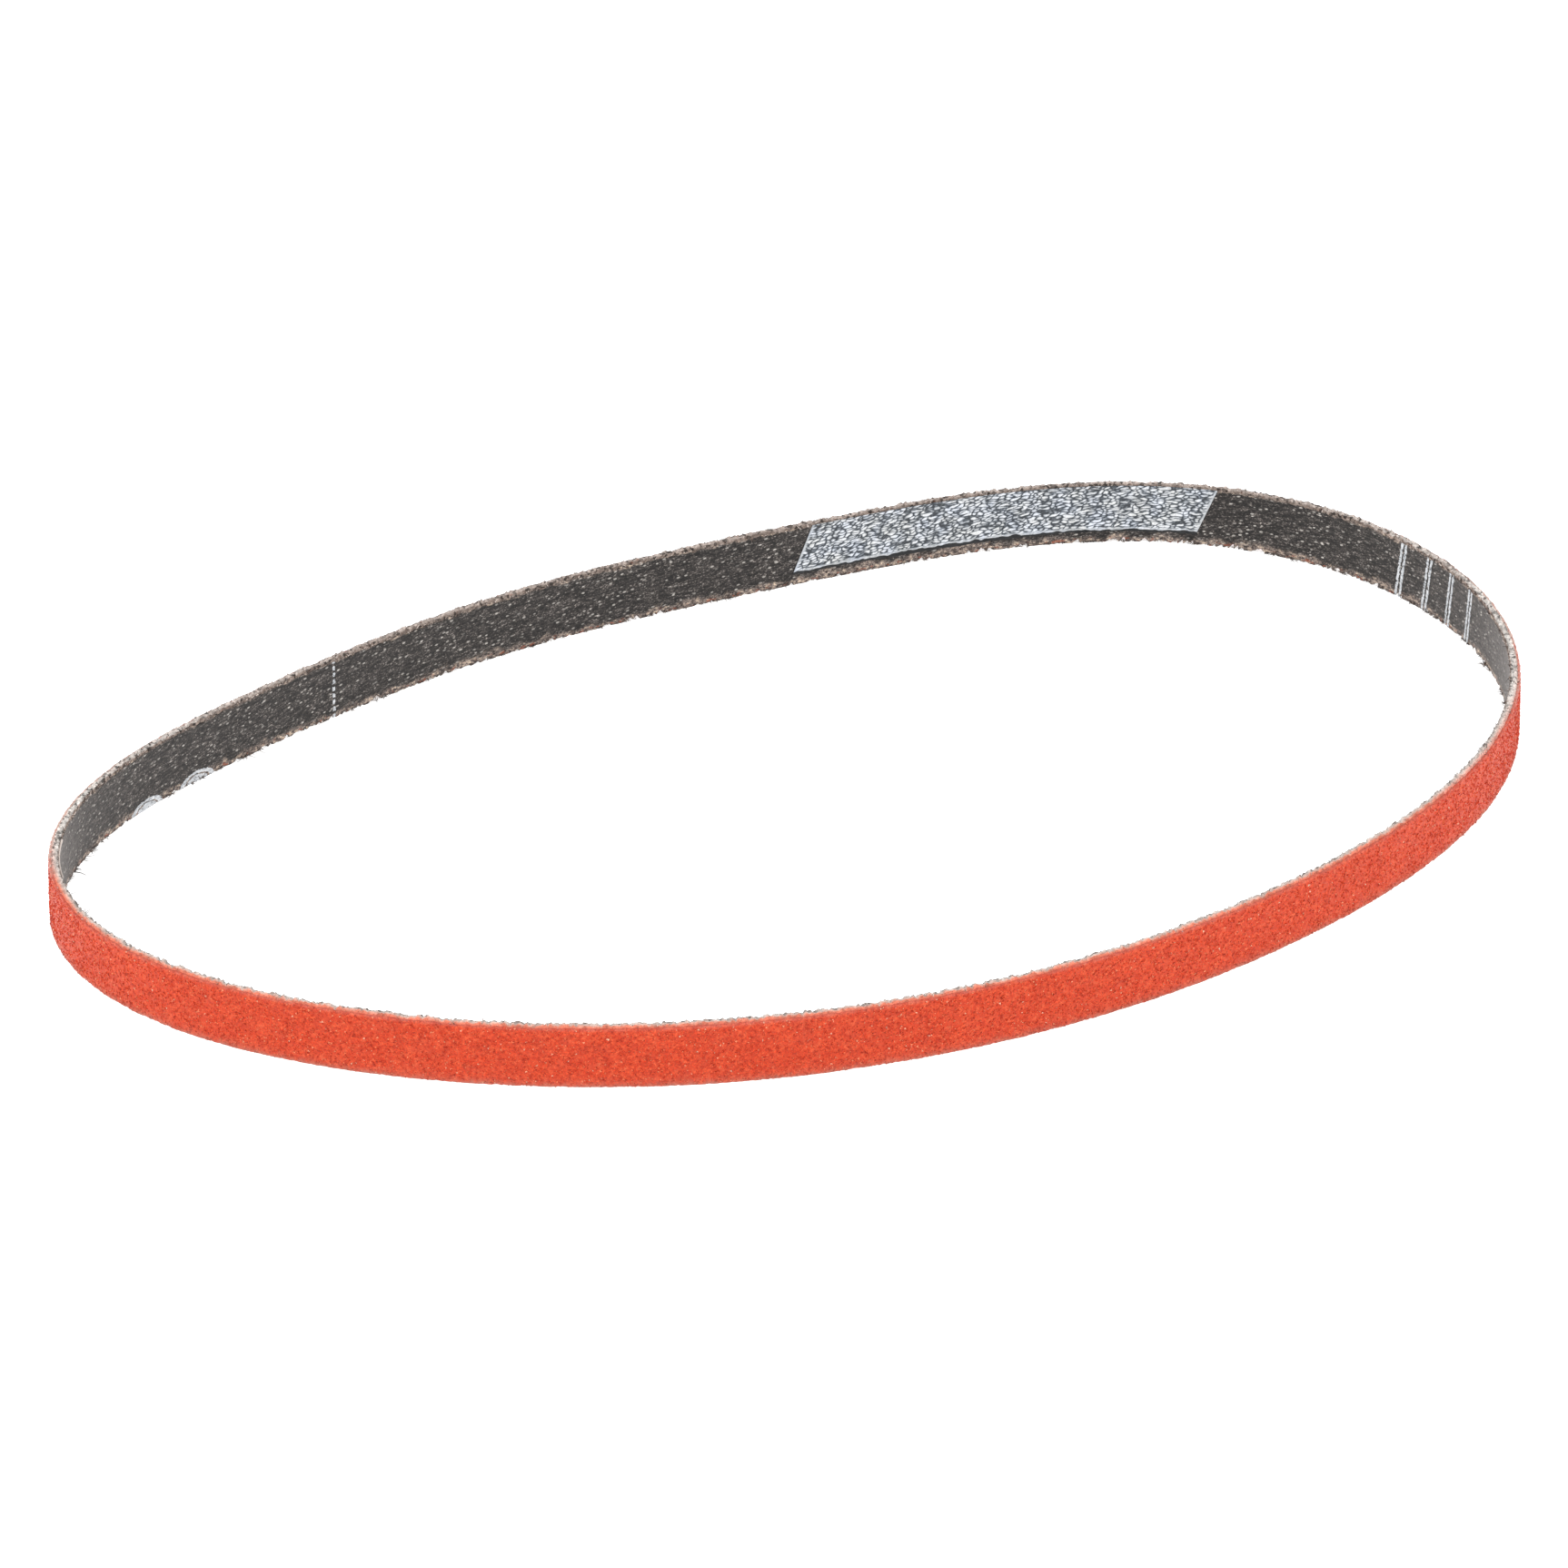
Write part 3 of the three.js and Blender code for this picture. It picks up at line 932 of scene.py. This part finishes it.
def add_stray_yarns():
    """A pale edge yarn that slipped off the upper rim at one end of the loop, a dark yarn beside it that
    paints the shadow line along it, and a dark hair below them."""
    inner = layer("backsize_coat")[0]
    slipped = (190 * MM, inner - 0.05 * MM, WIDTH)
    add_stray("pale_stray", slipped, (12, 0.2, -0.1), (0, -0.3, 0), 0.36 * MM, 1.0, FIBRE)
    # painted shadow: a dark tube beside the pale yarn stands in for the shadow line next to it
    shadow_root = (189 * MM, inner + 0.26 * MM, WIDTH)
    add_stray("shadow_stray", shadow_root, (14, 0.3, 0.1), (0, -0.3, 0), 0.34 * MM, 0.1, THREAD)
    below = (182 * MM, inner, 0.14 * MM)
    add_stray("stray_hair", below, (-0.4, -2.3, 0.05), (0.9, 0.3, -0.1), 0.16 * MM, 0.0, THREAD)


# ---- the splice tape

PEBBLE_LENGTH = 1.15 * MM
PEBBLE_HEIGHT = 0.44 * MM
PEBBLE_LEAN = 0.5  # along the belt for each metre up
FILM_THICKNESS = 0.035 * MM
PEBBLE_DEPTH = 0.12 * MM
FILM_MESH = 660, 72  # columns along the belt, and rows up it
GLUE_STATIONS = 330


def pebbles(along, height):
    """The film's surface from 0 to 1: long pebbles between the yarns it was pressed on."""
    leaned = along + PEBBLE_LEAN * height
    bend_x = 0.5 * fractal(along / (1.6 * MM), height / (0.9 * MM), 501, 2)
    bend_y = 0.4 * fractal(along / (1.3 * MM), height / (0.9 * MM), 505, 2)
    first, second, tone = cells(leaned / PEBBLE_LENGTH + bend_x, height / PEBBLE_HEIGHT + bend_y, 511, 0.95)
    crease = np.clip((second - first) / 0.6, 0, 1)
    grain = 0.15 * fractal(along / (0.35 * MM), height / (0.25 * MM), 515)
    return np.clip(crease * (0.55 + 0.8 * tone) + grain, 0, 1)


def tape_outline():
    """Where the tape's early and late ends cross the belt's middle, their slope, and its lower edge."""
    early, slope = leaning_edge("splice_tape", late=False)
    late, _ = leaning_edge("splice_tape", late=True)
    return early, late, slope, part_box("splice_tape")[0][2]


def add_tape():
    """The film, thicker where a pebble stands and sealed flat round its free edges."""
    early, late, slope, lower = tape_outline()
    _, outer = layer("splice_tape")
    columns, rows = FILM_MESH
    run = np.linspace(0, 1, columns)[:, None]
    face = np.linspace(0, 1, rows)
    across = np.concatenate([face[::-1], face])
    facing = np.concatenate([np.ones(rows), np.zeros(rows)])
    scallop = 0.16 * MM * fractal(run * (late - early) / (1.1 * MM), 0, 521, 2)
    height = lower + scallop * (1 - across) + (WIDTH + 0.12 * MM - lower) * across
    along = early + (late - early) * run + slope * (height - WIDTH / 2)
    surface = pebbles(along, height)
    from_ends = np.minimum(run, 1 - run) * (late - early)
    from_edge = np.minimum(from_ends, (height - lower) * 1.2)
    sealed = 0.75 * np.clip(1 - (from_edge - 0.28 * MM) / (0.25 * MM), 0, 1)
    surface = surface * (1 - sealed) + 0.6 * sealed
    thickness = FILM_THICKNESS + PEBBLE_DEPTH * surface
    back = outer - 0.02 * MM
    offset = np.where(facing == 1, back - thickness, back)
    coordinates = joined(along, offset, height)
    add_strip("splice_film", "splice_tape", coordinates, tape_material(), "tape_film", relief=surface)


def add_tape_adhesive():
    """Dark adhesive squeezed out round the tape, and the film of it beneath. Below the tape's lower edge the
    dark strip also paints the edge's shadow line.
    """
    early, late, slope, lower = tape_outline()
    inner, outer = layer("tape_adhesive")
    run = np.linspace(0, 1, GLUE_STATIONS)[:, None]
    through, across = section(2, 2, 2)
    distance = run * (late - early)
    slow = lattice_noise(distance / (11 * MM), 0, 778)
    # how far the dark strip reaches below the tape's lower edge: squeezed-out glue, widened into a painted
    # shadow line
    glue_and_shadow_reach = 0.48 * MM + 0.16 * MM * slow + 0.08 * MM * fractal(distance / (1.2 * MM), 0, 531, 2)
    lowest = lower - glue_and_shadow_reach
    height = lowest + (WIDTH + 0.08 * MM - lowest) * across
    along = early - 0.06 * MM + (late - early + 0.12 * MM) * run + slope * (height - WIDTH / 2)
    offset = inner - 0.01 * MM + (outer - inner + 0.03 * MM) * through
    glue = resin_material("splice_glue_and_shadow", seen(22, 24, 27), seen(44, 44, 46), 0.5)
    add_strip("splice_glue_and_shadow", "tape_adhesive", joined(along, offset, height), glue, "adhesive")


# ---- printed marks

INK_CELL = 0.08 * MM
INK_THICKNESS = 0.012 * MM
DOTTED_LINE_AT = 117.6 * MM
HALF_DISCS_AT = (146.8 * MM, 158.6 * MM)
HALF_DISC = 3.8 * MM, 1.7 * MM  # half its length, and its height
BARS_AT = -68.3 * MM
BAR_SPACING = -6.3 * MM
BARS = 4
BAR_LEAN = 0.16  # sideways for each metre up
INK_BOX = np.array([(3, 2, 1, 0), (4, 5, 6, 7), (0, 1, 5, 4), (1, 2, 6, 5), (2, 3, 7, 6), (3, 0, 4, 7)])


def ink_patch(centre, half_length, shape):
    """Centres of small squares of ink round one place, where shape(along, height) is true."""
    columns = np.arange(centre - half_length, centre + half_length, INK_CELL)
    rows = np.arange(0.06 * MM, WIDTH - 0.1 * MM, INK_CELL)
    along, height = np.meshgrid(columns, rows, indexing="ij")
    rough_x = 0.09 * MM * fractal(along / (0.4 * MM), height / (0.4 * MM), 601, 2)
    rough_y = 0.09 * MM * fractal(along / (0.4 * MM), height / (0.4 * MM), 603, 2)
    covered = shape(along - centre + rough_x, height + rough_y)
    covered &= fractal(along / (0.3 * MM), height / (0.2 * MM), 605, 2) > -0.75
    return along[covered], height[covered]


def dotted_line(along, height):
    """Short strokes one above another."""
    return (np.abs(along) < 0.24 * MM) & (np.mod(height, 1.15 * MM) < 0.7 * MM)


def half_disc(along, height):
    """A flat half disc with a thin gap inside its outline."""
    out = np.hypot(along / HALF_DISC[0], height / HALF_DISC[1])
    return (out < 1) & (np.abs(out - 0.68) > 0.06)


def double_bar(along, height):
    """Two thin strokes side by side."""
    across = along + BAR_LEAN * (height - WIDTH / 2)
    return np.abs(np.abs(across) - 0.44 * MM) < 0.25 * MM


def add_marks():
    """Plain register marks in grey-white ink: a dotted line, two half discs cut off by the lower slit
    edge, and a row of evenly spaced double bars."""
    patches = [ink_patch(DOTTED_LINE_AT, 1 * MM, dotted_line)]
    patches += [ink_patch(centre, 4 * MM, half_disc) for centre in HALF_DISCS_AT]
    patches += [ink_patch(BARS_AT + BAR_SPACING * bar, 2.5 * MM, double_bar) for bar in range(BARS)]
    along = np.concatenate([patch[0] for patch in patches])
    height = np.concatenate([patch[1] for patch in patches])
    corners = np.array([(-1, -1), (1, -1), (1, 1), (-1, 1)]) * INK_CELL / 2
    spread_along = along[:, None] + corners[:, 0]
    spread_height = height[:, None] + corners[:, 1]
    face = layer("backsize_coat")[0] - weave_relief(spread_along, spread_height) - 0.025 * MM
    offset = np.stack([face - INK_THICKNESS, face + 0.05 * MM], axis=1)
    faces = (INK_BOX[None] + 8 * np.arange(len(along))[:, None, None]).reshape(-1, 4)
    coordinates = joined(spread_along[:, None], offset, spread_height[:, None])
    new_piece("ink_marks", coordinates, faces.tolist(), ink_material(), "tape_film", smooth=False)


# ---- the scene

CAMERA_ELEVATION = math.radians(27.2)
CAMERA_DISTANCE = 2.68
CAMERA_LENS = 410.6
FILM_WIDTH = 36  # the camera's, in millimetres, as its lens is
CAMERA_AIM = Vector((-1.15, -2.87, 4.9)) * MM
FLOOR_REACH = 6.0  # from the belt's middle to the floor's sides
FLOOR_DROP = 0.01 * MM
STUDIO_LEVEL = 0.85


def add_camera():
    """A long lens that looks down on the loop from its front."""
    data = bpy.data.cameras.new("camera")
    data.lens = CAMERA_LENS
    data.sensor_width = FILM_WIDTH
    data.clip_start, data.clip_end = 0.1, 20
    camera = bpy.data.objects.new("camera", data)
    back = Vector((0, -math.cos(CAMERA_ELEVATION), math.sin(CAMERA_ELEVATION)))
    camera.location = CAMERA_AIM + back * CAMERA_DISTANCE
    camera.rotation_euler = (math.pi / 2 - CAMERA_ELEVATION, 0, 0)
    bpy.context.scene.collection.objects.link(camera)
    bpy.context.scene.camera = camera


def add_floor():
    """A white light table, so that the belt throws hardly any shadow."""
    mesh = bpy.data.meshes.new("floor")
    signs = [(-1, -1), (1, -1), (1, 1), (-1, 1)]
    corners = [(x * FLOOR_REACH, y * FLOOR_REACH, -FLOOR_DROP) for x, y in signs]
    mesh.from_pydata(corners, [], [(0, 1, 2, 3)])
    recipe = Recipe(
        "pale_floor", Base_Color=(0.85, 0.85, 0.85, 1), Roughness=0.9, Specular_IOR_Level=0.1,
        Emission_Color=(1, 1, 1, 1), Emission_Strength=0.75,
    )
    mesh.materials.append(recipe.material)
    floor = bpy.data.objects.new("floor", mesh)
    bpy.context.scene.collection.objects.link(floor)


def add_lamp(name, place, size, power):
    """A square soft box that faces the belt."""
    data = bpy.data.lights.new(name, "AREA")
    data.size = size
    data.energy = power
    lamp = bpy.data.objects.new(name, data)
    lamp.location = place
    lamp.rotation_euler = (-Vector(place)).to_track_quat("-Z", "Y").to_euler()
    bpy.context.scene.collection.objects.link(lamp)


def add_light():
    """An even white studio with a soft lamp on each side of the camera."""
    world = bpy.data.worlds.new("studio")
    world.use_nodes = True
    background = world.node_tree.nodes["Background"]
    background.inputs["Color"].default_value = (1, 1, 1, 1)
    background.inputs["Strength"].default_value = STUDIO_LEVEL
    bpy.context.scene.world = world
    add_lamp("key", place=(-1.2, -0.6, 1.2), size=0.5, power=11.5)
    add_lamp("fill", place=(1.2, -0.6, 0.9), size=0.8, power=7.5)
    bpy.context.scene.view_settings.view_transform = "Standard"


add_camera()
add_floor()
add_light()
add_size_coat()
add_grains()
add_backsize()
add_cloth()
add_make_coat()
add_seam_bond()
add_fuzz("upper_fuzz", upper=True, count=UPPER_FUZZ, seed=81)
add_fuzz("lower_fuzz", upper=False, count=LOWER_FUZZ, seed=82)
add_yarn_tips()
add_loose_threads()
add_tufts("low_tufts", LOW_TUFTS, LOW_TUFT, LOW_TUFTS_AT, upper=False, seed=85)
add_tufts("high_tufts", HIGH_TUFTS, HIGH_TUFT, HIGH_TUFTS_AT, upper=True, seed=86)
add_stray_yarns()
add_tape()
add_tape_adhesive()
add_marks()
